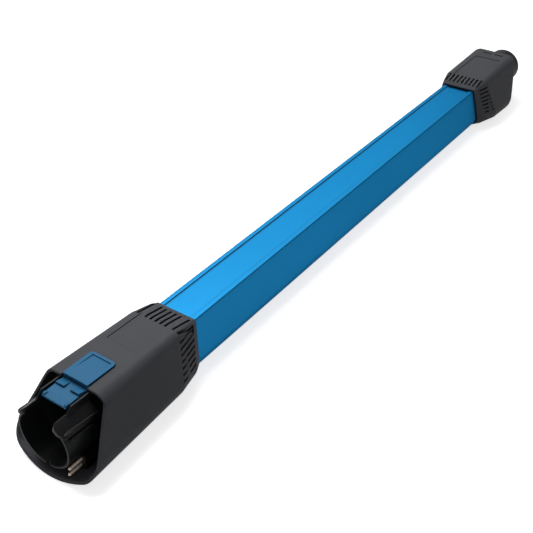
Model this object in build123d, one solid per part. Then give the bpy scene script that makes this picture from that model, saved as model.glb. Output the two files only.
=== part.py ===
from build123d import *
from math import sin, cos, radians, sqrt
import os

os.makedirs("parts", exist_ok=True)

# Vacuum extension wand, lying along Y with its handle end at -Y and its head end at +Y.
# While it is drawn, Y = 0 is the visible handle end of the tube, Z = 0 is the top of its rails
# and X = 0 is the middle. Sizes in millimetres.

# Tube: a thin aluminium extrusion with a flat top and splayed flanks.
TUBE_VISIBLE = 442.4
TUBE_HIDDEN = 30.0
TUBE_WALL = 1.5
TOP_RECESS = 0.8
RAIL_INNER_X = 11.6
RAIL_SLOPE = 0.6
WEB_TOP = (18.48, -23.0)
WEB_FOOT = (8.0, -37.25)
WEB_WALL = 1.1
PLUG_GAP = 0.12

# Both duct ends share one round axis.
DUCT_Z = -16.2
SPIGOT_R = 17.5
SPIGOT_BORE_R = 15.6
SPIGOT_TIP_Y = TUBE_VISIBLE + 120.1
SPIGOT_SEAT_Y = SPIGOT_TIP_Y - 33.5
SPIGOT_RELIEF = 0.3
SOCKET_R = 17.6
SOCKET_WALL = 1.3
THROAT_R = 15.8
THROAT_WALL = 1.5

# Cuffs: raked open ends, grip slots round the necks.
CUFF_WALL = 1.8
RAKE = 0.673
MOUTH_TOP = (-91.4, 5.9)
MOUTH_UPRIGHT_Z = 3.1
HEAD_TOP = (SPIGOT_TIP_Y - 32.5, 7.2)
FLOOR_Z = -44.0
RIM_LEAN = 0.17
SHOULDER_LEAN = 0.30
NECK_GAP = 0.1
NECK_LIP = 0.25
NECK_LIP_RISE = 0.42
SLOT_DEPTH = 1.6
SLOT_WIDTH = 1.7
TOP_PITCH = 4.2
SIDE_PITCH = 4.05
LABEL_DEPTH = 0.45

# Socket collar.
RING_Y = -122.6
RING_R = 19.55
RING_WALL = 1.45
LEAD_IN_Y = -104.0
BORE_Y = -98.0
OPEN_TOP_Y = -93.5
STOP_Y = -57.0
ARM_R = 22.6
ARM_TIP_Y = -124.0
ARM_ROOT_Y = -95.0
ARM_TIP_ROUND = 5.0
WALL_X = 11.6
WALL_T = 1.3
DUCT_FLAT_Z = 2.2

# Release latch and its pivot.
PIVOT_Y = -51.0
PIVOT_Z = 1.25
PIVOT_R = 0.9
PIVOT_GAP = 0.05
PAD_HALF = 10.4
PAD_FRONT = (-92.4, 9.75)
PAD_REAR = (-67.3, 8.9)
PAD_DISH_Y = (-87.5, -69.4)
PLATE_FRONT_Y = -110.4
PLATE_HALF = 9.9
PLATE_TOP = 6.3
NOTCH_GAP = 0.4
TOOTH_Y = -99.2
TOOTH_X = (2.8, 9.7)
ARM_INNER_X = 8.4
SPRING_ROOF_Z = 7.2

# Electrical line: two leads through one corner channel of the tube.
LEAD_R = 1.2
LEAD_GAP = 0.06
LEADS_IN_TUBE = ((16.84, -30.11), (14.46, -33.33))
CONTACTS = ((17.0, -31.7), (16.0, -37.2))
PIN_R = 1.0
PIN_TIP_Y = -121.5
PIN_END_Y = -92.0
BLOCK_Y = (-111.0, -96.0)
HEAD_BLOCK_Y = (SPIGOT_TIP_Y - 53.5, SPIGOT_TIP_Y - 76.5)
SLEEVE_WALL = 0.65

# Seats between the tube ends and the moulded plugs.
GASKET_T = 1.5
FLANGE_T = 2.5
PLUG_IN = 20.0
BULKHEAD_Y = (SPIGOT_TIP_Y - 71.5, SPIGOT_TIP_Y - 68.5)
HEAD_DUCT_ROUND_Y = SPIGOT_TIP_Y - 76.5
DUCT_BLEND = 8.0

# Countersunk fixing screws under each neck.
SCREW_X = 5.5
SCREW_Y = TUBE_HIDDEN - 8.0
SCREW_R = 1.3
SCREW_HEAD_R = 2.6
SCREW_CONE = 1.4
SCREW_LEN = 6.2


class Outline:
    """Cross-section of the wand: flat top, splayed flanks, round lower corners, arched bottom."""

    def __init__(self, half_top, top, splay, top_round, corner, arch, bottom):
        self.half_top = half_top
        self.top = top
        self.splay = splay
        self.top_round = top_round
        self.corner = corner
        self.arch = arch
        self.bottom = bottom

    def numbers(self):
        return (self.half_top, self.top, self.splay, self.top_round, self.corner, self.arch, self.bottom)

    def towards(self, other, share):
        """The section that lies a share of the way to another one."""
        return Outline(*[(1 - share) * p + share * q for p, q in zip(self.numbers(), other.numbers())])

    def inset(self, t):
        """The same section drawn inwards by t all round, or outwards where t is negative."""
        half_top = self.half_top - t * sqrt(1 + self.splay ** 2) + t * self.splay
        top_round = max(self.top_round - t, 0.3)
        corner = max(self.corner - t, 1.0)
        return Outline(half_top, self.top - t, self.splay, top_round, corner, self.arch - t, self.bottom + t)

    def lowered(self, drop):
        """The same section with its top taken down by drop."""
        half_top = self.half_top + self.splay * drop
        return Outline(half_top, self.top - drop, self.splay, self.top_round, self.corner, self.arch, self.bottom)

    def face(self, y, lean=0.0):
        """The section as a face on the plane y + lean * z."""
        stretch = sqrt(1 + lean ** 2)
        top = self.top * stretch
        bottom = self.bottom * stretch
        splay = self.splay / stretch
        # Each flank meets the circle of the bottom at the lower root of this quadratic.
        reach = self.half_top + splay * top
        centre = bottom + self.arch
        qa = 1 + splay ** 2
        qb = reach * splay + centre
        qc = reach ** 2 + centre ** 2 - self.arch ** 2
        low = (qb - sqrt(qb ** 2 - qa * qc)) / qa
        low_x = reach - splay * low
        with BuildSketch(Plane(origin=(0, y, 0), x_dir=(1, 0, 0), z_dir=(0, -1, lean))) as sketch:
            with BuildLine():
                Line((-self.half_top, top), (self.half_top, top))
                Line((self.half_top, top), (low_x, low))
                ThreePointArc((low_x, low), (0, bottom), (-low_x, low))
                Line((-low_x, low), (-self.half_top, top))
            make_face()
            fillet(sketch.vertices().sort_by(Axis.Y)[:2], self.corner)
            fillet(sketch.vertices().sort_by(Axis.Y)[-2:], self.top_round)
        return sketch.sketch


TUBE = Outline(15.75, 0.0, 0.185, 1.2, 8.0, 60.0, -39.3)
PASSAGE = Outline(11.2, -4.1, 0.15, 6.0, 13.0, 50.0, -34.4)

HANDLE_RIM = Outline(17.0, 1.2, 0.185, 2.0, 9.2, 61.2, -40.5)
HANDLE_SHOULDER = Outline(20.6, 6.2, 0.31, 6.5, 10.0, 66.0, -41.4)
HANDLE_SHOULDER_D = 22.0
HANDLE_END = Outline(24.6, 9.65, 0.29, 11.5, 12.0, 72.0, FLOOR_Z)

HEAD_RIM = Outline(17.2, 1.4, 0.185, 2.0, 9.4, 61.4, -40.7)
HEAD_SHOULDER = Outline(21.3, 6.7, 0.32, 6.0, 10.0, 68.0, -43.3)
HEAD_SHOULDER_D = 20.0
HEAD_END = Outline(22.3, 8.9, 0.34, 9.0, 12.0, 72.0, FLOOR_Z)


def prism(outline, y0, y1):
    """A section carried straight along Y."""
    return extrude(outline.face(y0), amount=y1 - y0, dir=(0, 1, 0))


def side_solid(points, half_width):
    """A closed outline in the Y-Z plane spread to both sides of the middle."""
    return extrude(Plane.YZ * Polygon(*points, align=None), amount=half_width, both=True)


def span(x0, x1, y0, y1, z0, z1):
    """A block between two corners."""
    middle = ((x0 + x1) / 2, (y0 + y1) / 2, (z0 + z1) / 2)
    return Pos(*middle) * Box(abs(x1 - x0), abs(y1 - y0), abs(z1 - z0))


def bar(radius, y0, y1, x=0.0, z=DUCT_Z, radius_end=None):
    """A round bar or cone along Y."""
    low, high = min(y0, y1), max(y0, y1)
    r0 = radius if y0 < y1 or radius_end is None else radius_end
    r1 = r0 if radius_end is None else (radius_end if y0 < y1 else radius)
    base = Plane(origin=(x, low, z), x_dir=(1, 0, 0), z_dir=(0, 1, 0))
    if r0 == r1:
        return extrude(base * Circle(r0), amount=high - low)
    return base * Cone(r0, r1, high - low, align=(Align.CENTER, Align.CENTER, Align.MIN))


def round_face(radius, y):
    """A circle in eight arcs, one for each edge of an Outline, so that the two can be blended."""
    turns = (-35, 35, 60, 105, 160, 200, 255, 300, 325)
    plane = Plane(origin=(0, y, DUCT_Z), x_dir=(1, 0, 0), z_dir=(0, -1, 0))
    with BuildSketch(plane) as sketch:
        with BuildLine():
            for start, end in zip(turns[:-1], turns[1:]):
                angles = [radians(start), radians((start + end) / 2), radians(end)]
                ThreePointArc(*[(radius * sin(t), radius * cos(t)) for t in angles])
        make_face()
    return sketch.sketch


def web_clip(extra=0.0):
    """Triangle that stands for the airway side of both corner webs of the tube."""
    run_x = WEB_TOP[0] - WEB_FOOT[0]
    run_z = WEB_TOP[1] - WEB_FOOT[1]
    length = sqrt(run_x ** 2 + run_z ** 2)
    # Distance of the web from the origin along its normal, and the normal itself.
    nx, nz = run_z / length, run_x / length
    reach = nx * WEB_TOP[0] - nz * WEB_TOP[1] + extra
    high = 60.0
    wide = (reach + nz * high) / nx
    return Polygon((-wide, high), (wide, high), (0, -reach / nz), align=None)


def across(y):
    """Plane across the wand with X to the right and Z up."""
    return Plane(origin=(0, y, 0), x_dir=(1, 0, 0), z_dir=(0, -1, 0))


def airway_face(y, gap=0.0):
    """Hollow of the tube between its top and the two corner webs."""
    hollow = TUBE.inset(TUBE_WALL + gap).lowered(TOP_RECESS).face(y)
    return hollow & (across(y) * web_clip(-gap))


def channel_face(y, gap=0.0):
    """The corner channel of the tube that carries the leads."""
    hollow = TUBE.inset(TUBE_WALL + gap).face(y)
    corner = hollow - (across(y) * web_clip(WEB_WALL + gap))
    return corner & (across(y) * Pos(25, -25) * Rectangle(50, 60))


def tube_extrusion():
    """Extrusion with rails along a recessed top and a closed channel in each lower corner."""
    y0 = -TUBE_HIDDEN
    recess = Polygon(
        (-RAIL_INNER_X, -TOP_RECESS),
        (RAIL_INNER_X, -TOP_RECESS),
        (RAIL_INNER_X + RAIL_SLOPE, 1),
        (-RAIL_INNER_X - RAIL_SLOPE, 1),
        align=None,
    )
    channel = channel_face(y0)
    section = TUBE.face(y0) - across(y0) * recess - airway_face(y0) - channel - mirror(channel, Plane.YZ)
    return extrude(section, amount=TUBE_VISIBLE + 2 * TUBE_HIDDEN, dir=(0, 1, 0))


def neck(rim, shoulder, base, way, depth, inset=0.0, first=0.0):
    """Neck that rises quickly behind the lip of its rim and then straight to its shoulder."""
    faces = []
    for u in sorted({first, NECK_LIP, 1.0}):
        if u >= first:
            slow = NECK_LIP_RISE + (1 - NECK_LIP_RISE) * (u - NECK_LIP) / (1 - NECK_LIP)
            share = slow if u >= NECK_LIP else NECK_LIP_RISE * u / NECK_LIP
            lean = RIM_LEAN + (SHOULDER_LEAN - RIM_LEAN) * u
            outline = rim.towards(shoulder, share).inset(inset)
            faces.append(outline.face(base + way * depth * u, -way * lean))
    return loft(faces, ruled=True)


def flare(shoulder, end, base, way, depth, end_y, inset=0.0):
    """Straight-sided part of a cuff from its shoulder outwards."""
    near = shoulder.inset(inset).face(base + way * depth, -way * SHOULDER_LEAN)
    return loft([near, end.inset(inset).face(end_y)], ruled=True)


def slot_lines(top_slots, base, way):
    """Thin slabs that stand on the neck wherever a grip slot runs."""
    slabs = []
    long = 40.0
    y = base + way * 15.0
    for x in top_slots:
        slabs.append(Pos(x, y, 6) * Box(SLOT_WIDTH, long, 20))
    for side in (-1, 1):
        for i in range(7):
            z = -0.2 - SIDE_PITCH * i
            slabs.append(Pos(side * 27, y, z) * Box(24, long, SLOT_WIDTH))
        for turn in (20, 45, 70):
            hub = Pos(side * 18.5, y, -29.5) * Rot(0, side * turn, 0)
            slabs.append(hub * Pos(side * 10, 0, 0) * Box(14, long, SLOT_WIDTH))
    return slabs


def grip_slots(rim, shoulder, base, way, depth, top_slots, start, stop):
    """Blind grooves along the neck, their floors parallel to its surface."""
    top, low = 12.0, -50.0
    lean = -way * SHOULDER_LEAN
    zone = side_solid(
        [
            (base + way * start + lean * top, top),
            (base + way * stop + lean * top, top),
            (base + way * stop + lean * low, low),
            (base + way * start + lean * low, low),
        ],
        45,
    )
    floor = neck(rim, shoulder, base, way, depth, SLOT_DEPTH)
    floor += prism(shoulder.inset(SLOT_DEPTH), base + way * (depth - 2), base + way * (depth + 20))
    slabs = Compound(children=slot_lines(top_slots, base, way))
    return (zone & slabs) - floor


def rake_cutter(top_point, way, upright_z=40.0):
    """Everything beyond the raked end of a cuff, which stands upright above a chosen height."""
    y_at, z_at = top_point
    high, low = 40.0, -80.0
    far_y = y_at + way * 200.0
    knee_y = y_at + RAKE * (upright_z - z_at)
    low_y = y_at + RAKE * (low - z_at)
    points = [(far_y, high), (knee_y, high), (low_y, low), (far_y, low)]
    if upright_z < high:
        points.insert(2, (knee_y, upright_z))
    return side_solid(points, 80)


def screw_sites(base, way):
    """Positions of the two fixing screws under a neck."""
    return [(side * SCREW_X, base + way * SCREW_Y) for side in (-1, 1)]


def screw(x, y, head_z, gap=0.0):
    """Countersunk screw driven upwards."""
    cone = Pos(x, y, head_z) * Cone(
        SCREW_HEAD_R + gap, SCREW_R + gap, SCREW_CONE, align=(Align.CENTER, Align.CENTER, Align.MIN)
    )
    shank = Pos(x, y, head_z + SCREW_CONE) * Cylinder(
        SCREW_R + gap, SCREW_LEN - SCREW_CONE + gap, align=(Align.CENTER, Align.CENTER, Align.MIN)
    )
    return cone + shank


def screw_pair(base, way, head_z):
    """The two screws of one neck, each with a cross recess."""
    solids = []
    for x, y in screw_sites(base, way):
        recess = Pos(x, y, head_z) * (Box(2.6, 0.6, 1.6) + Box(0.6, 2.6, 1.6))
        solids.append(screw(x, y, head_z) - recess)
    return Compound(children=solids)


HANDLE_SCREW_Z = -41.15
HEAD_SCREW_Z = -42.55


def cuff_blank(rim, shoulder, end, base, way, depth, end_y, screw_z):
    """Neck and flare of a cuff, hollowed round a sleeve for the tube."""
    outer = neck(rim, shoulder, base, way, depth) + flare(shoulder, end, base, way, depth, end_y)
    hollow_neck = neck(rim, shoulder, base, way, depth, SLOT_DEPTH + CUFF_WALL, 0.5)
    hollow = flare(shoulder, end, base, way, depth, end_y, CUFF_WALL)
    inside = hollow_neck + hollow
    sleeve_end = base + way * (TUBE_HIDDEN + GASKET_T + FLANGE_T)
    sleeve = prism(TUBE.inset(-NECK_GAP - CUFF_WALL), base + way * 5, sleeve_end)
    ribs = [span(side * 8.0, side * 9.4, base + way * 12, sleeve_end, 0, 10) for side in (-1, 1)]
    ribs += [span(side * 18.0, side * 40.0, base + way * 12, sleeve_end, -20, -18.6) for side in (-1, 1)]
    kept = inside - sleeve
    for rib in ribs:
        kept -= rib
    pocket = prism(TUBE.inset(-NECK_GAP), base - way * 30, base + way * (TUBE_HIDDEN + 14))
    blank = outer - kept - pocket
    tube_end = base + way * TUBE_HIDDEN
    for x, z in CONTACTS:
        blank -= bar(LEAD_R + 0.9, tube_end, tube_end + way * 14, x, z)
    for x, y in screw_sites(base, way):
        blank -= screw(x, y, screw_z, 0.05)
        blank -= Pos(x, y, screw_z) * Cylinder(
            SCREW_HEAD_R + 0.05, 6, align=(Align.CENTER, Align.CENTER, Align.MAX)
        )
    return blank


def label_recess(shoulder, end, near_y, end_y, y0, y1, half_width, round_r):
    """Shallow panel let into the top of a cuff, which runs out over the neck."""
    faces = []
    for y in (y0, y1):
        share = (y - near_y) / (end_y - near_y)
        faces.append(shoulder.towards(end, share).inset(LABEL_DEPTH).face(y))
    plan = Pos(0, (y0 + y1) / 2, 0) * extrude(RectangleRounded(2 * half_width, abs(y1 - y0), round_r), 15)
    return plan - loft(faces, ruled=True)


HANDLE_BLANK_END_Y = -130.0
HEAD_BLANK_END_Y = SPIGOT_TIP_Y - 17.5


def past(shoulder, end, base, way, depth, end_at, z_fixed, y_fixed, y_end):
    """End section carried on so that the bottom line passes through a chosen point."""
    lean_y = base + way * (depth - SHOULDER_LEAN * shoulder.bottom)
    drop = (z_fixed - shoulder.bottom) * (y_end - lean_y) / (y_fixed - lean_y)
    share = (y_end - (base + way * depth)) / (end_at - (base + way * depth))
    carried = shoulder.towards(end, share)
    carried.bottom = shoulder.bottom + drop
    return carried


def lip_y(top_point):
    """Where a raked end reaches the floor."""
    return top_point[0] + RAKE * (FLOOR_Z - top_point[1])


HANDLE_FAR = past(
    HANDLE_SHOULDER, HANDLE_END, 0.0, -1, HANDLE_SHOULDER_D, -125.0, FLOOR_Z, lip_y(MOUTH_TOP), HANDLE_BLANK_END_Y
)
HEAD_FAR = past(
    HEAD_SHOULDER,
    HEAD_END,
    TUBE_VISIBLE,
    1,
    HEAD_SHOULDER_D,
    HEAD_TOP[0],
    FLOOR_Z,
    lip_y(HEAD_TOP),
    HEAD_BLANK_END_Y,
)


def handle_end_cuff():
    """Cuff over the socket end, with the raked mouth and the notch for the latch pad."""
    cuff = cuff_blank(
        HANDLE_RIM, HANDLE_SHOULDER, HANDLE_FAR, 0.0, -1, HANDLE_SHOULDER_D, HANDLE_BLANK_END_Y, HANDLE_SCREW_Z
    )
    cuff -= rake_cutter(MOUTH_TOP, -1, MOUTH_UPRIGHT_Z)
    top_slots = [i * TOP_PITCH for i in range(-2, 3)] + [-19.4, -15.1, 15.1, 19.4]
    cuff -= grip_slots(HANDLE_RIM, HANDLE_SHOULDER, 0.0, -1, HANDLE_SHOULDER_D, top_slots, 4.6, 22.7)
    near_y = -HANDLE_SHOULDER_D + SHOULDER_LEAN * HANDLE_SHOULDER.top
    cuff -= label_recess(HANDLE_SHOULDER, HANDLE_FAR, near_y, HANDLE_BLANK_END_Y, -52.3, near_y + 2.8, 13.4, 1.5)
    notch_half = PAD_HALF + NOTCH_GAP
    notch_rear = PAD_REAR[0] + NOTCH_GAP
    notch = Pos(0, (notch_rear - 110) / 2, 1) * extrude(
        RectangleRounded(2 * notch_half, notch_rear + 110, 3.5 + NOTCH_GAP), 15
    )
    return cuff - notch


def head_end_cuff():
    """Cuff over the spigot end, with two catch slots through its top wall."""
    cuff = cuff_blank(
        HEAD_RIM,
        HEAD_SHOULDER,
        HEAD_FAR,
        TUBE_VISIBLE,
        1,
        HEAD_SHOULDER_D,
        HEAD_BLANK_END_Y,
        HEAD_SCREW_Z,
    )
    cuff -= rake_cutter(HEAD_TOP, 1)
    top_slots = [i * TOP_PITCH for i in range(-4, 5)]
    cuff -= grip_slots(HEAD_RIM, HEAD_SHOULDER, TUBE_VISIBLE, 1, HEAD_SHOULDER_D, top_slots, 4.6, 18.0)
    near_y = TUBE_VISIBLE + HEAD_SHOULDER_D - SHOULDER_LEAN * HEAD_SHOULDER.top
    label_y = HEAD_TOP[0] - 18.5
    cuff -= label_recess(HEAD_SHOULDER, HEAD_FAR, near_y, HEAD_BLANK_END_Y, near_y - 2.5, label_y, 13.8, 2.5)
    slot_y = HEAD_TOP[0] - 6.1
    for side in (-1, 1):
        cuff -= span(side * 2.0, side * 10.9, slot_y - 1.1, slot_y + 1.1, 2, 15)
    return cuff


def plug_passage(y_round, y_shaped, y_end):
    """Inside of a duct that turns from round to the shape of the tube's airway."""
    blend = loft([round_face(THROAT_R, y_round), PASSAGE.face(y_shaped)], ruled=True)
    return blend + prism(PASSAGE, y_shaped, y_end)


def plug_shell(base, way, y_round, y_shaped):
    """Outside of such a duct, with the flange at the tube end and the plug inside the tube."""
    around = PASSAGE.inset(-THROAT_WALL)
    tube_end = base + way * TUBE_HIDDEN
    flange_y = tube_end + way * GASKET_T
    blend = loft([round_face(THROAT_R + THROAT_WALL, y_round), around.face(y_shaped)], ruled=True)
    neck = prism(around, y_shaped, flange_y)
    flange = extrude(seat_face(flange_y), amount=FLANGE_T, dir=(0, way, 0))
    plug = extrude(airway_face(flange_y, PLUG_GAP), amount=PLUG_IN + GASKET_T, dir=(0, -way, 0))
    return blend + neck + flange + plug


def seat_face(y, gap=0.4):
    """Outline of the flange and the gasket, clear of the lead channel."""
    return TUBE.inset(gap).lowered(TOP_RECESS).face(y) & (across(y) * web_clip(WEB_WALL - 0.1))


def gasket(base, way):
    """Flat ring between the flange and the cut end of the tube."""
    y = base + way * TUBE_HIDDEN
    return extrude(seat_face(y) - airway_face(y), amount=GASKET_T, dir=(0, way, 0))


def on_ring(radius, turn, y):
    """A point of the collar at an angle from its top."""
    return Vector(radius * sin(radians(turn)), y, DUCT_Z + radius * cos(radians(turn)))


def rod(start, end, radius):
    """A round bar between two points."""
    return Plane(origin=start, z_dir=end - start) * Cylinder(
        radius, (end - start).length, align=(Align.CENTER, Align.CENTER, Align.MIN)
    )


def collar_arm(side):
    """Thick rounded lobe on the ring that guides the mating cuff, with two ridges under it."""
    low_turn, high_turn = 57.0, 29.5
    middle = (low_turn + high_turn) / 2
    edge = [on_ring(1, t, 0) for t in (low_turn, high_turn)]
    fan = [(0, 0)] + [(40 * e.X, 40 * (e.Z - DUCT_Z)) for e in edge]
    ring = Circle(ARM_R) - Circle(RING_R)
    base = Plane(origin=(0, ARM_TIP_Y, DUCT_Z), x_dir=(1, 0, 0), z_dir=(0, -1, 0))
    face = base * (ring & Polygon(*fan, align=None))
    arm = extrude(face, amount=ARM_ROOT_Y - ARM_TIP_Y, dir=(0, 1, 0))
    # Seen along the radius of its middle, the lobe has a rounded front.
    hub = on_ring(ARM_R, middle, 0)
    outward = Plane(origin=(0, 0, DUCT_Z), x_dir=(0, 1, 0), z_dir=(hub.X, 0, hub.Z - DUCT_Z))
    width = 2 * ARM_R * sin(radians((low_turn - high_turn) / 2))
    length = ARM_ROOT_Y - ARM_TIP_Y + 10
    lobe = Pos((ARM_TIP_Y + ARM_TIP_Y + length) / 2, 0) * RectangleRounded(length, width, ARM_TIP_ROUND)
    arm &= extrude(outward * lobe, amount=40)
    arm += rod(on_ring(ARM_R - 0.2, 53.5, ARM_TIP_Y + 4.5), on_ring(ARM_R - 0.2, 58.5, ARM_ROOT_Y + 1), 0.8)
    arm += rod(on_ring(RING_R + RING_WALL, 67, -118.0), on_ring(RING_R + RING_WALL, 69, -104.0), 0.7)
    arm -= bar(RING_R, RING_Y - 10, BORE_Y)
    return arm if side > 0 else mirror(arm, Plane.YZ)


def wall_top(y):
    """Height of the channel walls, a little under the roof of the cuff."""
    slope = 0.0333
    return 6.5 + slope * (PAD_FRONT[0] - y)


def channel_wall(side):
    """Upright wall beside the latch that also carries the pivot pin."""
    front, rear = -113.5, -46.0
    points = [(front, -9), (front, 2.3), (front + 5, wall_top(front + 5))]
    points += [(rear - 2, wall_top(rear)), (rear, wall_top(rear) - 2), (rear, -9)]
    sheet = extrude(Plane.YZ * Polygon(*points, align=None), amount=WALL_T, dir=(1, 0, 0))
    start = WALL_X if side > 0 else -WALL_X - WALL_T
    return Pos(start, 0, 0) * sheet


def socket_collar():
    """Ring, arms, round socket, stop, and the duct that leads into the tube."""
    step_y = STOP_Y + 1.5
    shaped_y = -TUBE_HIDDEN - 12.0
    outer = bar(RING_R + RING_WALL, RING_Y, BORE_Y)
    outer += bar(SOCKET_R + SOCKET_WALL, BORE_Y - 1, STOP_Y)
    outer += bar(SOCKET_R + SOCKET_WALL, STOP_Y, step_y, radius_end=THROAT_R + THROAT_WALL)
    outer += plug_shell(0.0, -1, step_y, shaped_y)
    for side in (-1, 1):
        outer += collar_arm(side)
        outer += channel_wall(side)
    outer -= span(-WALL_X, WALL_X, BORE_Y, STOP_Y + 2, DUCT_FLAT_Z, 10)
    inner = bar(RING_R, RING_Y - 1, LEAD_IN_Y)
    inner += bar(RING_R, LEAD_IN_Y, BORE_Y, radius_end=SOCKET_R)
    inner += bar(SOCKET_R, BORE_Y, STOP_Y)
    inner += bar(THROAT_R, STOP_Y, step_y)
    inner += plug_passage(step_y, shaped_y, 0.0)
    collar = outer - inner
    collar -= span(-11.4, 11.4, RING_Y - 5, OPEN_TOP_Y, -4, 10)
    collar -= Plane.YZ * Pos(PIVOT_Y, PIVOT_Z) * extrude(Circle(PIVOT_R + PIVOT_GAP / 2), 30, both=True)
    collar -= span(-1.4, 1.4, RING_Y - 1, RING_Y + 1.2, DUCT_Z - 25, DUCT_Z)
    for x, y in screw_sites(0.0, -1):
        collar -= screw(x, y, HANDLE_SCREW_Z, 0.05)
    return collar


def latch_tooth(side):
    """Wedge that enters a slot of the mating cuff, and a nub at the corner in front of it."""
    foot = PLATE_TOP - 1.2
    tip = PLATE_TOP + 1.4
    points = [(TOOTH_Y, foot), (TOOTH_Y, tip - 0.3), (TOOTH_Y + 0.4, tip)]
    points += [(TOOTH_Y + 5.6, PLATE_TOP), (TOOTH_Y + 5.6, foot)]
    wedge = extrude(Plane.YZ * Polygon(*points, align=None), amount=TOOTH_X[1] - TOOTH_X[0], dir=(1, 0, 0))
    nub_y = PLATE_FRONT_Y + 0.4
    points = [(nub_y, foot), (nub_y, PLATE_TOP - 0.3), (nub_y + 0.8, PLATE_TOP + 0.35)]
    points += [(nub_y + 2.4, PLATE_TOP + 0.35), (nub_y + 3.4, PLATE_TOP - 0.2), (nub_y + 3.4, foot)]
    nub = extrude(Plane.YZ * Polygon(*points, align=None), amount=1.7, dir=(1, 0, 0))
    tooth = Pos(TOOTH_X[0], 0, 0) * wedge + Pos(PLATE_HALF - 1.7, 0, 0) * nub
    return tooth if side > 0 else mirror(tooth, Plane.YZ)


def latch_plate():
    """Catch plate in front of the pad, its front third sloping down."""
    front, rear = PLATE_FRONT_Y, PAD_FRONT[0] + 1
    under, raised = PLATE_TOP - 1.9, PLATE_TOP - 1.1
    points = [(front, under), (front, PLATE_TOP - 0.6), (front + 4.9, PLATE_TOP), (rear, PLATE_TOP)]
    points += [(rear, raised), (OPEN_TOP_Y - 1.2, raised), (OPEN_TOP_Y - 2.4, under)]
    return side_solid(points, PLATE_HALF)


def latch_pad():
    """Thumb pad with a shallow dish on top and a pocket for the spring underneath."""
    (front, front_z), (rear, rear_z) = PAD_FRONT, PAD_REAR
    side = side_solid([(front, 5.2), (front, front_z), (rear, rear_z), (rear, 4.9)], PAD_HALF)
    plan = Pos(0, (front + rear) / 2, 0) * extrude(RectangleRounded(2 * PAD_HALF, rear - front, 3.0), 15)
    front_square = span(-PAD_HALF, PAD_HALF, front, front + 6, 0, 15)
    dish_front, dish_rear = PAD_DISH_Y
    slope = (rear_z - front_z) / (rear - front)
    fade, step = front_z + slope * (dish_front - front) + 0.1, front_z + slope * (dish_rear - front) - 0.6
    dish = side_solid([(dish_front, fade), (dish_rear, step), (dish_rear, 11), (dish_front, 11)], 7.6)
    pocket = span(-5.5, 5.5, front + 2.9, rear - 1.8, 0, SPRING_ROOF_Z)
    return (side & (plan + front_square)) - dish - pocket


def latch_arm(side):
    """Arm from the pad back to the eye on the pivot pin."""
    points = [(-78, 6.0), (-70.5, 6.0), (-70.5, 3.4), (-68.3, 3.35)]
    points += [(PIVOT_Y, PIVOT_Z + 1.7), (PIVOT_Y, PIVOT_Z - 0.9), (-57.0, 1.4), (-70.0, 2.1), (-78.0, 4.6)]
    arm = extrude(Plane.YZ * Polygon(*points, align=None), amount=PLATE_HALF - ARM_INNER_X, dir=(1, 0, 0))
    eye = Plane.YZ * Pos(PIVOT_Y, PIVOT_Z) * extrude(Circle(1.8), PLATE_HALF - ARM_INNER_X)
    return Pos(ARM_INNER_X if side > 0 else -PLATE_HALF, 0, 0) * (arm + eye)


def release_latch():
    """One-piece lever: thumb pad, catch plate in front, two arms back to the pivot."""
    latch = latch_plate() + latch_pad()
    for side in (-1, 1):
        latch += latch_tooth(side)
        latch += latch_arm(side)
    latch -= Plane.YZ * Pos(PIVOT_Y, PIVOT_Z) * extrude(Circle(PIVOT_R + PIVOT_GAP), 30, both=True)
    return latch


def latch_pivot_pin():
    """Steel pin across the channel walls."""
    return Plane.YZ * Pos(PIVOT_Y, PIVOT_Z) * extrude(Circle(PIVOT_R), WALL_X + WALL_T, both=True)


def latch_spring():
    """Bent leaf between the flat of the duct and the roof of the pad's pocket."""
    leaf = 0.3
    roof = SPRING_ROOF_Z
    foot = DUCT_FLAT_Z
    points = [(-70.5, foot), (-74, foot), (-85, roof - leaf), (-87, roof - leaf)]
    points += [(-87, roof), (-84.93, roof), (-73.93, foot + leaf), (-70.5, foot + leaf)]
    return side_solid(points, 3.0)


def contact_block(y_face, y_back, cavity, hole_r):
    """Insulating block on the floor of a cuff, hollowed to clear the round duct."""
    block = span(12.6, 20.4, y_face, y_back, -45, -28.2) & cavity
    block -= bar(RING_R + RING_WALL + 0.4, y_face - 30, y_face + 30)
    for x, z in CONTACTS:
        block -= bar(hole_r, y_face - 30, y_face + 30, x, z)
    return block


def pin_block():
    """Block that carries the contact pins in the mouth."""
    cavity = flare(
        HANDLE_SHOULDER, HANDLE_FAR, 0.0, -1, HANDLE_SHOULDER_D, HANDLE_BLANK_END_Y, CUFF_WALL + NECK_GAP
    )
    return contact_block(BLOCK_Y[0], BLOCK_Y[1], cavity, PIN_R + 0.03)


def contact_pins():
    """Two round pins with eased tips."""
    pins = []
    for x, z in CONTACTS:
        tip = bar(0.5, PIN_TIP_Y, PIN_TIP_Y + 0.6, x, z, radius_end=PIN_R)
        pins.append(tip + bar(PIN_R, PIN_TIP_Y + 0.6, PIN_END_Y, x, z))
    return Compound(children=pins)


def head_contact_block():
    """Block behind the spigot that holds the contact sleeves."""
    cavity = flare(
        HEAD_SHOULDER, HEAD_FAR, TUBE_VISIBLE, 1, HEAD_SHOULDER_D, HEAD_BLANK_END_Y, CUFF_WALL + NECK_GAP
    )
    return contact_block(HEAD_BLOCK_Y[0], HEAD_BLOCK_Y[1], cavity, PIN_R + 0.1 + SLEEVE_WALL + 0.03)


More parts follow.
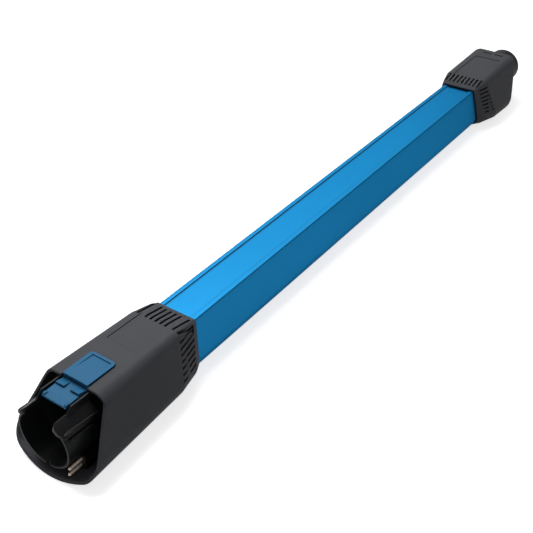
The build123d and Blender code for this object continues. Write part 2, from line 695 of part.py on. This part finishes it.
def contact_sleeves():
    """Two open sleeves that take the pins of the next part, each with a tail for its terminal."""
    sleeves = []
    face, back = HEAD_BLOCK_Y
    for x, z in CONTACTS:
        sleeve = bar(PIN_R + 0.1 + SLEEVE_WALL, back, face - 0.3, x, z)
        sleeve -= bar(PIN_R + 0.1, back + 4, face, x, z)
        sleeves.append(sleeve + bar(PIN_R, back - 4, back, x, z))
    return Compound(children=sleeves)


def crimp_pair(tail_y, way):
    """Terminals that join the tails of the contacts to the leads."""
    crimps = []
    for x, z in CONTACTS:
        crimp = bar(1.8, tail_y - way * 3.2, tail_y + way * 2.8, x, z)
        crimp -= bar(PIN_R + 0.03, tail_y - way * 4.0, tail_y + way * 0.5, x, z)
        crimp -= bar(LEAD_R + 0.03, tail_y + way * 0.5, tail_y + way * 5.0, x, z)
        crimps.append(crimp)
    return Compound(children=crimps)


def lead(number):
    """Insulated lead from the pins to the sleeves through the corner channel of the tube."""
    (cx, cz), (tx, tz) = CONTACTS[number], LEADS_IN_TUBE[number]
    start, end = PIN_END_Y + 0.6, HEAD_BLOCK_Y[1] - 4.6
    points = [
        (cx, start, cz),
        (cx, start + 8, cz),
        (tx, -TUBE_HIDDEN - 8, tz),
        (tx, TUBE_VISIBLE + TUBE_HIDDEN + 0.8, tz),
        (cx, TUBE_VISIBLE + TUBE_HIDDEN + 5.4, cz),
        (cx, end, cz),
    ]
    path = FilletPolyline(*points, radius=[6, 6, 2.5, 2.5])
    return sweep(Plane(origin=path @ 0, z_dir=path % 0) * Circle(LEAD_R), path=path)


def grommet(base, way):
    """Soft stopper in the end of the lead channel, pierced for both leads."""
    y = base + way * (TUBE_HIDDEN - 5)
    body = extrude(channel_face(y, 0.08), amount=8.0 if way < 0 else 5.0, dir=(0, way, 0))
    for x, z in LEADS_IN_TUBE:
        body -= bar(LEAD_R + LEAD_GAP, y - 12, y + 12, x, z)
    return body


def head_end_spigot():
    """Round spigot on a bulkhead, and the duct that leads into the tube behind it."""
    round_y, shaped_y = HEAD_DUCT_ROUND_Y, HEAD_DUCT_ROUND_Y - DUCT_BLEND
    back, front = BULKHEAD_Y
    cavity = flare(HEAD_SHOULDER, HEAD_FAR, TUBE_VISIBLE, 1, HEAD_SHOULDER_D, HEAD_BLANK_END_Y, CUFF_WALL + 0.15)
    wall = cavity & span(-60, 60, back, front, -60, 20)
    wall -= span(12.4, 20.6, back - 1, front + 1, -45, -28.0)
    outer = bar(SPIGOT_R - SPIGOT_RELIEF, round_y, SPIGOT_SEAT_Y) + wall
    outer += bar(SPIGOT_R, SPIGOT_SEAT_Y, SPIGOT_TIP_Y - 1.2)
    outer += bar(SPIGOT_R, SPIGOT_TIP_Y - 1.2, SPIGOT_TIP_Y, radius_end=SPIGOT_R - 0.9)
    outer += plug_shell(TUBE_VISIBLE, 1, round_y, shaped_y)
    inner = bar(THROAT_R, round_y, round_y + 6) + bar(THROAT_R, round_y + 6, round_y + 10, radius_end=SPIGOT_BORE_R)
    inner += bar(SPIGOT_BORE_R, round_y + 10, SPIGOT_TIP_Y + 1)
    inner += plug_passage(round_y, shaped_y, TUBE_VISIBLE)
    spigot = outer - inner
    for x, y in screw_sites(TUBE_VISIBLE, 1):
        spigot -= screw(x, y, HEAD_SCREW_Z, 0.05)
    return spigot


def drilled_tube():
    """The tube with clearance holes for the fixing screws."""
    tube = tube_extrusion()
    for base, way, z in ((0.0, -1, HANDLE_SCREW_Z), (TUBE_VISIBLE, 1, HEAD_SCREW_Z)):
        for x, y in screw_sites(base, way):
            tube -= screw(x, y, z, 0.1)
    return tube


# The finished part is moved so that the origin lies on the floor under the middle of the wand.
MIDDLE_Y = (lip_y(MOUTH_TOP) + SPIGOT_TIP_Y) / 2
SEAT = Location((0, -MIDDLE_Y, -FLOOR_Z))

NODES = {
    "tube_extrusion": drilled_tube,
    "handle_end_cuff": handle_end_cuff,
    "socket_collar": socket_collar,
    "release_latch": release_latch,
    "latch_pivot_pin": latch_pivot_pin,
    "latch_spring": latch_spring,
    "pin_block": pin_block,
    "contact_pins": contact_pins,
    "head_end_cuff": head_end_cuff,
    "head_end_spigot": head_end_spigot,
    "contact_socket_block": head_contact_block,
    "contact_sleeves": contact_sleeves,
    "live_lead": lambda: lead(0),
    "return_lead": lambda: lead(1),
    "handle_end_gasket": lambda: gasket(0.0, -1),
    "head_end_gasket": lambda: gasket(TUBE_VISIBLE, 1),
    "handle_end_screws": lambda: screw_pair(0.0, -1, HANDLE_SCREW_Z),
    "head_end_screws": lambda: screw_pair(TUBE_VISIBLE, 1, HEAD_SCREW_Z),
    "handle_end_grommet": lambda: grommet(0.0, -1),
    "head_end_grommet": lambda: grommet(TUBE_VISIBLE, 1),
    "handle_end_terminals": lambda: crimp_pair(PIN_END_Y, 1),
    "head_end_terminals": lambda: crimp_pair(HEAD_BLOCK_Y[1] - 4, -1),
}

for name, make in NODES.items():
    export_step(SEAT * make(), f"parts/{name}.step")
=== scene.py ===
import math

import bpy
import numpy as np
from mathutils import Euler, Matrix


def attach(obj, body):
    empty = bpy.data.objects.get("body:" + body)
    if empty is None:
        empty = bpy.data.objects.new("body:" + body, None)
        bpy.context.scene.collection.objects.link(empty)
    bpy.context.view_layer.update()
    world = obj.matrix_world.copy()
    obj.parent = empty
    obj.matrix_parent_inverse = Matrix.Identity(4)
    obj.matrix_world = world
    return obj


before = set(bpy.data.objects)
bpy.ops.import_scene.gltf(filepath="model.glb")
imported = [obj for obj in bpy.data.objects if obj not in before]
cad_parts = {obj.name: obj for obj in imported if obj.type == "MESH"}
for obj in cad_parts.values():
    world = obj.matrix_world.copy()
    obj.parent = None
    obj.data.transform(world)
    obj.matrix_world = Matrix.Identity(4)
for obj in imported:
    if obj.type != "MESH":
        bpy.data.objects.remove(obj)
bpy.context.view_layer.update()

# Camera: a short telephoto lens beyond the socket end, above and to the right of the wand, that looks
# along it at the angle of the photograph. Places are in metres and angles in radians.
YAW, PITCH = 0.613, 0.621
camera = bpy.data.cameras.new("camera")
camera.sensor_width = 36.0
camera.lens = 59.1
camera.clip_start = 0.01
camera_object = bpy.data.objects.new("camera", camera)
camera_object.location = (0.31408, -0.55969, 0.41047)
camera_object.rotation_euler = Euler((math.pi / 2 - PITCH, 0.0, YAW))
bpy.context.collection.objects.link(camera_object)
bpy.context.scene.camera = camera_object
bpy.context.scene.view_settings.view_transform = "Standard"


def rgb(code):
    """Linear colour of an sRGB hex code: each channel goes through the standard sRGB curve."""
    channels = np.array([int(code[i:i + 2], 16) for i in (1, 3, 5)]) / 255.0
    linear = np.where(channels <= 0.04045, channels / 12.92, ((channels + 0.055) / 1.055) ** 2.4)
    return (*[float(c) for c in linear], 1.0)


def add(tree, kind, settings=None, **inputs):
    """Adds a node, sets its properties, then sets or links its inputs. An input goes by its name, with _
    for a space, or by i and its number where several share a name."""
    node = tree.nodes.new(kind)
    for key, value in (settings or {}).items():
        setattr(node, key, value)
    for key, value in inputs.items():
        numbered = key[0] == "i" and key[1:].isdigit()
        socket = node.inputs[int(key[1:]) if numbered else key.replace("_", " ")]
        if isinstance(value, bpy.types.NodeSocket):
            tree.links.new(value, socket)
        else:
            socket.default_value = value
    return node


# Floor: a studio table top in matt white paint, so wide that it runs off in every direction. It lies
# half a millimetre under the wand, so that the two share no plane.
HALF_WIDTH, FLOOR_Z = 6.0, -0.0005
corners = [(x * HALF_WIDTH, y * HALF_WIDTH, FLOOR_Z) for x, y in ((-1, -1), (1, -1), (1, 1), (-1, 1))]
floor_mesh = bpy.data.meshes.new("studio_floor")
floor_mesh.from_pydata(corners, [], [(0, 1, 2, 3)])
floor = bpy.data.objects.new("studio_floor", floor_mesh)
bpy.context.collection.objects.link(floor)


def backdrop_seen(tree):
    """How white the backdrop is drawn: 1 for the camera, a quarter for what gloss mirrors, else 0."""
    path = add(tree, "ShaderNodeLightPath").outputs
    return add(tree, "ShaderNodeMath", {"operation": "MULTIPLY_ADD"}, i0=path["Is Glossy Ray"], i1=0.25,
               i2=path["Is Camera Ray"]).outputs[0]


floor_paint = bpy.data.materials.new("matt_white_paint")
floor_paint.use_nodes = True
tree = floor_paint.node_tree
tree.nodes.clear()
matt = add(tree, "ShaderNodeBsdfDiffuse", Color=rgb("#E6E6E6")).outputs[0]
# The lamps fade away from the object, so the lift grows from 0.6 m to 3 m and the horizon stays white.
place = add(tree, "ShaderNodeTexCoord").outputs["Object"]
away = add(tree, "ShaderNodeVectorMath", {"operation": "LENGTH"}, i0=place).outputs["Value"]
white = add(tree, "ShaderNodeMapRange", Value=away, From_Min=0.6, From_Max=3.0, To_Min=0.75, To_Max=0.86)
lift = add(tree, "ShaderNodeEmission", Color=(1, 1, 1, 1), Strength=white.outputs[0]).outputs[0]
lifted = add(tree, "ShaderNodeAddShader", i0=matt, i1=lift).outputs[0]
mixed = add(tree, "ShaderNodeMixShader", Fac=backdrop_seen(tree), i1=matt, i2=lifted).outputs[0]
add(tree, "ShaderNodeOutputMaterial", Surface=mixed)
floor_mesh.materials.append(floor_paint)

# Backdrop: the walls of the studio, white where the camera sees them. They light the wand only weakly,
# because its light comes from the lamps.
world = bpy.data.worlds.new("studio")
world.use_nodes = True
bpy.context.scene.world = world
tree = world.node_tree
tree.nodes.clear()
around = add(tree, "ShaderNodeBackground", Color=(1, 1, 1, 1), Strength=0.16).outputs[0]
behind = add(tree, "ShaderNodeBackground", Color=(1, 1, 1, 1), Strength=1.0).outputs[0]
mixed = add(tree, "ShaderNodeMixShader", Fac=backdrop_seen(tree), i1=around, i2=behind).outputs[0]
add(tree, "ShaderNodeOutputWorld", Surface=mixed)


# Lamps: a large soft panel beyond the far end that the flat top of the tube mirrors, a small one over
# the neck of the socket, a weak one in front and a weak fill from the left.
def softbox(name, place, target, width, height, power):
    """A rectangular lamp at place that faces target, in metres, with its power in watts."""
    lamp = bpy.data.lights.new(name, "AREA")
    lamp.shape = "RECTANGLE"
    lamp.size, lamp.size_y = width, height
    lamp.energy = power
    lamp_object = bpy.data.objects.new(name, lamp)
    lamp_object.location = place
    aim = np.array(target) - np.array(place)
    turn = math.atan2(-aim[0], aim[1])
    tilt = math.acos(-aim[2] / np.linalg.norm(aim))
    lamp_object.rotation_euler = Euler((tilt, 0.0, turn))
    bpy.context.collection.objects.link(lamp_object)


softbox("overhead_panel", (-2.18, 2.32, 2.8), (0, 0, 0), width=3.4, height=2.4, power=46.5)
softbox("socket_panel", (-0.25, -0.12, 0.75), (0, -0.27, 0), width=0.6, height=0.4, power=4.7)
softbox("front_panel", (0.9, -1.2, 1.8), (0, -0.2, 0), width=1.6, height=1.2, power=1.2)
softbox("left_fill", (-1.8, -0.4, 1.2), (0, 0, 0), width=1.4, height=1.4, power=1.5)


# Tube: aluminium extruded to a splayed section with two rails, bead blasted, then anodised and dyed
# blue. The eye sees a satin metal with faint lines along the length left by the die.
def start_material(name):
    """A new material, its node tree, its shader, and the place on the piece in metres."""
    material = bpy.data.materials.new(name)
    material.use_nodes = True
    tree = material.node_tree
    place = add(tree, "ShaderNodeTexCoord").outputs["Object"]
    return material, tree, tree.nodes["Principled BSDF"], place


def worn_edges(tree, radius_mm, samples, flat, sharp, most):
    """Two outputs: the normal rounded over the edges, and a wear that grows from 0 to most while the
    cosine between that normal and the face's own falls from flat to sharp."""
    rounded = add(tree, "ShaderNodeBevel", {"samples": samples}, Radius=radius_mm / 1000.0).outputs[0]
    face = add(tree, "ShaderNodeNewGeometry").outputs["Normal"]
    cosine = add(tree, "ShaderNodeVectorMath", {"operation": "DOT_PRODUCT"}, i0=rounded, i1=face)
    wear = add(tree, "ShaderNodeMapRange", Value=cosine.outputs["Value"], From_Min=flat, From_Max=sharp,
               To_Min=0.0, To_Max=most)
    return rounded, wear.outputs[0]


def painted_shade_near_walls(tree, tone, reach_mm, shut, clear, darkest, own_walls=False):
    """Painted shade: the tone, times darkest where walls within reach_mm leave open a share of the sky below
    shut, and times 1 where they leave open more than clear. With own_walls, other pieces don't count."""
    sky = add(tree, "ShaderNodeAmbientOcclusion", {"samples": 6, "only_local": own_walls},
              Distance=reach_mm / 1000.0).outputs["AO"]
    share = add(tree, "ShaderNodeMapRange", Value=sky, From_Min=shut, From_Max=clear, To_Min=darkest,
                To_Max=1.0).outputs[0]
    return add(tree, "ShaderNodeMath", {"operation": "MULTIPLY"}, i0=tone, i1=share).outputs[0]


def anodised_aluminium(name, dye, rubbed_film):
    """Satin metal: long faint die lines and a fine blasted grain, both in tone or roughness and in bump."""
    material, tree, shader, place = start_material(name)
    die_lines_per_mm, stretch, pits_per_mm, drift_mm = 1.2, 50.0, 6.5, 125.0
    # The die lines are drawn out along the tube, so their pattern is squeezed in y before it is read.
    along = add(tree, "ShaderNodeMapping", Vector=place, Scale=(1.0, 1.0 / stretch, 1.0)).outputs[0]
    lines = add(tree, "ShaderNodeTexNoise", Vector=along, Scale=1000.0 * die_lines_per_mm, Detail=3.0,
                Roughness=0.6).outputs["Fac"]
    pits = add(tree, "ShaderNodeTexNoise", Vector=place, Scale=1000.0 * pits_per_mm,
               Detail=2.0).outputs["Fac"]
    drift = add(tree, "ShaderNodeTexNoise", Vector=place, Scale=1000.0 / drift_mm, Detail=1.0).outputs["Fac"]
    dye_tone = add(tree, "ShaderNodeMapRange", Value=drift, To_Min=0.94, To_Max=1.06).outputs[0]
    line_tone = add(tree, "ShaderNodeMapRange", Value=lines, To_Min=0.96, To_Max=1.04).outputs[0]
    tone = add(tree, "ShaderNodeMath", {"operation": "MULTIPLY"}, i0=dye_tone, i1=line_tone).outputs[0]
    # Painted shade darkens the dye along the feet of the rails and where the cuffs grip the tube.
    tone = painted_shade_near_walls(tree, tone, reach_mm=3.0, shut=0.5, clear=0.95, darkest=0.45)
    dyed = add(tree, "ShaderNodeVectorMath", {"operation": "SCALE"}, i0=rgb(dye)[:3], Scale=tone).outputs[0]
    # Along the sharp edges of the rails the dyed film is thin and rubbed, so they shine paler.
    rounded, wear = worn_edges(tree, radius_mm=0.5, samples=6, flat=0.995, sharp=0.85, most=0.35)
    colour = add(tree, "ShaderNodeMix", {"data_type": "RGBA"}, i0=wear, i6=dyed, i7=rgb(rubbed_film))
    tree.links.new(colour.outputs[2], shader.inputs["Base Color"])
    satin = add(tree, "ShaderNodeMapRange", Value=pits, To_Min=0.3, To_Max=0.42).outputs[0]
    tree.links.new(satin, shader.inputs["Roughness"])
    shader.inputs["Metallic"].default_value = 1.0
    # The dyed film stays blue at a grazing angle, under the thin clear skin of its sealed pores.
    shader.inputs["Specular Tint"].default_value = (0.35, 0.75, 1.0, 1.0)
    shader.inputs["Coat Weight"].default_value = 0.1
    shader.inputs["Coat Roughness"].default_value = 0.35
    relief = add(tree, "ShaderNodeMath", {"operation": "ADD"}, i0=lines, i1=pits).outputs[0]
    bump = add(tree, "ShaderNodeBump", Strength=0.12, Distance=0.0001, Height=relief, Normal=rounded)
    tree.links.new(bump.outputs[0], shader.inputs["Normal"])
    return material


def dress(material, *names):
    """Gives CAD nodes a material."""
    for name in names:
        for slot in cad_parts[name].material_slots:
            slot.material = material


dress(anodised_aluminium("blue_anodised_aluminium", "#1774A8", "#8CC4E0"), "tube_extrusion")


# Cuffs: charcoal ABS moulded in a spark-eroded tool and screwed to the tube, so the skin is a fine
# even grain that is a little glossier where hands and the floor rub the edges.
def moulded_plastic(name, pigment, roughness, grain_mm, depth_mm, worn=0.15, gloss=0.35):
    """Moulded plastic: a grain of a real size and depth, a cloudy sheen, edges that are rounded and
    rubbed paler and smoother by worn, and painted shade in slots, at the foot of steps and in hollows."""
    material, tree, shader, place = start_material(name)
    cloud_mm = 25.0
    grain = add(tree, "ShaderNodeTexNoise", Vector=place, Scale=1000.0 / grain_mm, Detail=2.0).outputs["Fac"]
    cloud = add(tree, "ShaderNodeTexNoise", Vector=place, Scale=1000.0 / cloud_mm, Detail=3.0).outputs["Fac"]
    rounded, wear = worn_edges(tree, radius_mm=0.5, samples=4, flat=0.99, sharp=0.75, most=worn)
    tone = add(tree, "ShaderNodeMapRange", Value=cloud, To_Min=0.93, To_Max=1.07).outputs[0]
    tone = add(tree, "ShaderNodeMath", {"operation": "ADD"}, i0=tone, i1=wear).outputs[0]
    # Painted shade darkens slots and the foot of steps.
    tone = painted_shade_near_walls(tree, tone, reach_mm=1.3, shut=0.5, clear=0.92, darkest=0.22)
    # Inside the hollows of a part the tone is darkened further by painted shade.
    tone = painted_shade_near_walls(tree, tone, reach_mm=30.0, shut=0.3, clear=0.72, darkest=0.3, own_walls=True)
    colour = add(tree, "ShaderNodeVectorMath", {"operation": "SCALE"}, i0=rgb(pigment)[:3], Scale=tone)
    tree.links.new(colour.outputs[0], shader.inputs["Base Color"])
    sheen = add(tree, "ShaderNodeMapRange", Value=cloud, To_Min=roughness - 0.04, To_Max=roughness + 0.04)
    sheen = add(tree, "ShaderNodeMath", {"operation": "SUBTRACT"}, i0=sheen.outputs[0], i1=wear).outputs[0]
    tree.links.new(sheen, shader.inputs["Roughness"])
    shader.inputs["IOR"].default_value = 1.53
    shader.inputs["Specular IOR Level"].default_value = gloss
    bump = add(tree, "ShaderNodeBump", Strength=0.35, Distance=depth_mm / 1000.0, Height=grain,
               Normal=rounded).outputs[0]
    tree.links.new(bump, shader.inputs["Normal"])
    return material


charcoal = moulded_plastic("charcoal_moulded_abs", "#48494D", roughness=0.5, grain_mm=0.35, depth_mm=0.06,
                           gloss=0.09)
dress(charcoal, "handle_end_cuff", "head_end_cuff")

# Socket collar, spigot and contact blocks: all moulded of one black nylon compound, smoother than
# the cuffs that hold them because the joints have to slide and seal.
black = moulded_plastic("black_glass_filled_nylon", "#161719", roughness=0.42, grain_mm=0.5, depth_mm=0.03,
                        worn=0.1, gloss=0.16)
dress(black, "socket_collar", "head_end_spigot", "pin_block", "contact_socket_block")

# Guide ridges: the rolled lower edge of each lobe of the collar and a smaller rib under it, moulded
# in one with the collar. They centre the mating cuff, so they swell toward the mouth. Sizes are in
# millimetres of the source's own sketch, where the duct's axis lies at DUCT_Z and the frame's origin
# at FRAME_ORIGIN.
DUCT_Z, RIDGE_RADIUS = -16.2, 21.9
FRAME_ORIGIN = np.array([0.0, 218.75865, -44.0])


def ridge(side, turns, ys, swell, rings=36, around=14):
    """Points and faces of a bar. Its centre line runs between two turns, in degrees from the top, and
    two y, on a cylinder of RIDGE_RADIUS round the duct. Its own radius is swell, times a round nose
    over the first eighth, a straight taper to a third, and a round tail over the last tenth. Nose and
    tail stop at a twentieth of the swell, and a pole closes each. A side of -1 gives the mirror image
    of the bar on the right."""
    least = 0.05 ** 2
    s = np.linspace(0.0, 1.0, rings)[:, None]
    turn = np.radians(turns[0] + (turns[1] - turns[0]) * s)
    nose = np.sqrt(np.clip(1 - (1 - np.clip(s / 0.125, 0, 1)) ** 2, least, 1))
    tail = np.sqrt(np.clip(1 - np.clip((s - 0.9) / 0.1, 0, 1) ** 2, least, 1))
    radius = swell * nose * tail * (1 - 0.65 * s)
    phi = np.linspace(0, 2 * np.pi, around, endpoint=False)[None, :]
    out, across = RIDGE_RADIUS + radius * np.cos(phi), radius * np.sin(phi)
    x = out * np.sin(turn) + across * np.cos(turn)
    y = np.broadcast_to(ys[0] + (ys[1] - ys[0]) * s, x.shape)
    z = DUCT_Z + out * np.cos(turn) - across * np.sin(turn)
    points = np.stack([side * x, y, z], axis=2).reshape(-1, 3)
    poles = [points[:around].mean(axis=0), points[-around:].mean(axis=0)]
    first = np.arange((rings - 1) * around).reshape(rings - 1, around)
    after = np.roll(first, -1, axis=1)
    faces = np.stack([first, after, after + around, first + around], axis=2).reshape(-1, 4).tolist()
    start = np.arange(around)
    last = start + (rings - 1) * around
    pole = rings * around
    faces += np.stack([np.roll(start, -1), start, np.full(around, pole)], axis=1).tolist()
    faces += np.stack([last, np.roll(last, -1), np.full(around, pole + 1)], axis=1).tolist()
    if side < 0:
        faces = [face[::-1] for face in faces]
    return np.vstack([points, poles]), faces


ridge_points, ridge_faces = np.empty((0, 3)), []
for side in (-1, 1):
    for turns, ys, swell in (((56.5, 61.5), (-122.9, -98.0), 2.2), ((66.0, 70.0), (-119.0, -100.0), 1.4)):
        points, faces = ridge(side, turns, ys, swell)
        ridge_faces += [[i + len(ridge_points) for i in face] for face in faces]
        ridge_points = np.vstack([ridge_points, (points - FRAME_ORIGIN) / 1000.0])
ridge_mesh = bpy.data.meshes.new("collar_guide_ridges")
ridge_mesh.from_pydata(ridge_points.tolist(), [], ridge_faces)
ridge_mesh.shade_smooth()
ridge_mesh.materials.append(black)
ridges = bpy.data.objects.new("collar_guide_ridges", ridge_mesh)
bpy.context.collection.objects.link(ridges)
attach(ridges, "wand")

# Release latch: one lever moulded in acetal that is dyed blue right through, with a satin skin. It
# turns on its steel pin between the walls of the collar.
blue = moulded_plastic("blue_acetal", "#20658F", roughness=0.5, grain_mm=0.4, depth_mm=0.04, gloss=0.15)
dress(blue, "release_latch")


# Contact pins and sleeves: brass turned on a lathe and nickel plated, pressed into their blocks.
# Turning leaves fine rings across the axis, and the plating is a warm, dull white.
def drawn_metal(name, tint, roughness, ring_mm):
    """Bright metal with fine rings spaced by ring_mm along the wand, and small stains."""
    material, tree, shader, place = start_material(name)
    stain_mm = 2.5
    # A wave texture of scale 1 repeats every 0.314 m.
    rings = add(tree, "ShaderNodeTexWave", {"bands_direction": "Y"}, Vector=place, Scale=314.0 / ring_mm,
                Distortion=1.5).outputs["Fac"]
    stain = add(tree, "ShaderNodeTexNoise", Vector=place, Scale=1000.0 / stain_mm, Detail=3.0).outputs["Fac"]
    tone = add(tree, "ShaderNodeMapRange", Value=stain, To_Min=0.85, To_Max=1.05).outputs[0]
    colour = add(tree, "ShaderNodeVectorMath", {"operation": "SCALE"}, i0=rgb(tint)[:3], Scale=tone)
    tree.links.new(colour.outputs[0], shader.inputs["Base Color"])
    gloss = add(tree, "ShaderNodeMapRange", Value=stain, To_Min=roughness - 0.06, To_Max=roughness + 0.08)
    tree.links.new(gloss.outputs[0], shader.inputs["Roughness"])
    shader.inputs["Metallic"].default_value = 1.0
    bump = add(tree, "ShaderNodeBump", Strength=0.2, Distance=0.00002, Height=rings).outputs[0]
    tree.links.new(bump, shader.inputs["Normal"])
    return material


nickel = drawn_metal("nickel_plated_brass", "#FFF1E4", roughness=0.7, ring_mm=0.5)
dress(nickel, "contact_pins", "contact_sleeves")

# Pivot pin, leaf spring and screws: drawn or rolled steel, zinc plated to a bright cool grey. The pin
# and the spring sit under the latch, and two countersunk screws are driven up under each neck.
zinc = drawn_metal("zinc_plated_steel", "#C9CBCC", roughness=0.3, ring_mm=0.6)
dress(zinc, "latch_pivot_pin", "latch_spring", "handle_end_screws", "head_end_screws")

# Terminals: short barrels of tinned brass at both ends of the leads, pushed over the tails of the
# pins and the sleeves. They have a yellowish grey sheen and are hidden inside the cuffs.
tin = drawn_metal("tinned_brass", "#D8CFAE", roughness=0.35, ring_mm=0.8)
dress(tin, "handle_end_terminals", "head_end_terminals")

# Gaskets and grommets: moulded black rubber with a dull dusty skin. The gaskets are pressed between
# the ends of the tube and the flanges, and the grommets guide the leads.
rubber = moulded_plastic("black_sealing_rubber", "#1D1D1D", roughness=0.75, grain_mm=0.6, depth_mm=0.05,
                         worn=0.05)
dress(rubber, "handle_end_gasket", "head_end_gasket", "handle_end_grommet", "head_end_grommet")

# Leads: PVC insulation drawn over stranded copper, brown for live and blue for return. They run in
# the tube's own passages beside the airway.
brown_pvc = moulded_plastic("brown_pvc_insulation", "#5A3320", roughness=0.35, grain_mm=0.8, depth_mm=0.02)
blue_pvc = moulded_plastic("blue_pvc_insulation", "#1E4E9C", roughness=0.35, grain_mm=0.8, depth_mm=0.02)
dress(brown_pvc, "live_lead")
dress(blue_pvc, "return_lead")
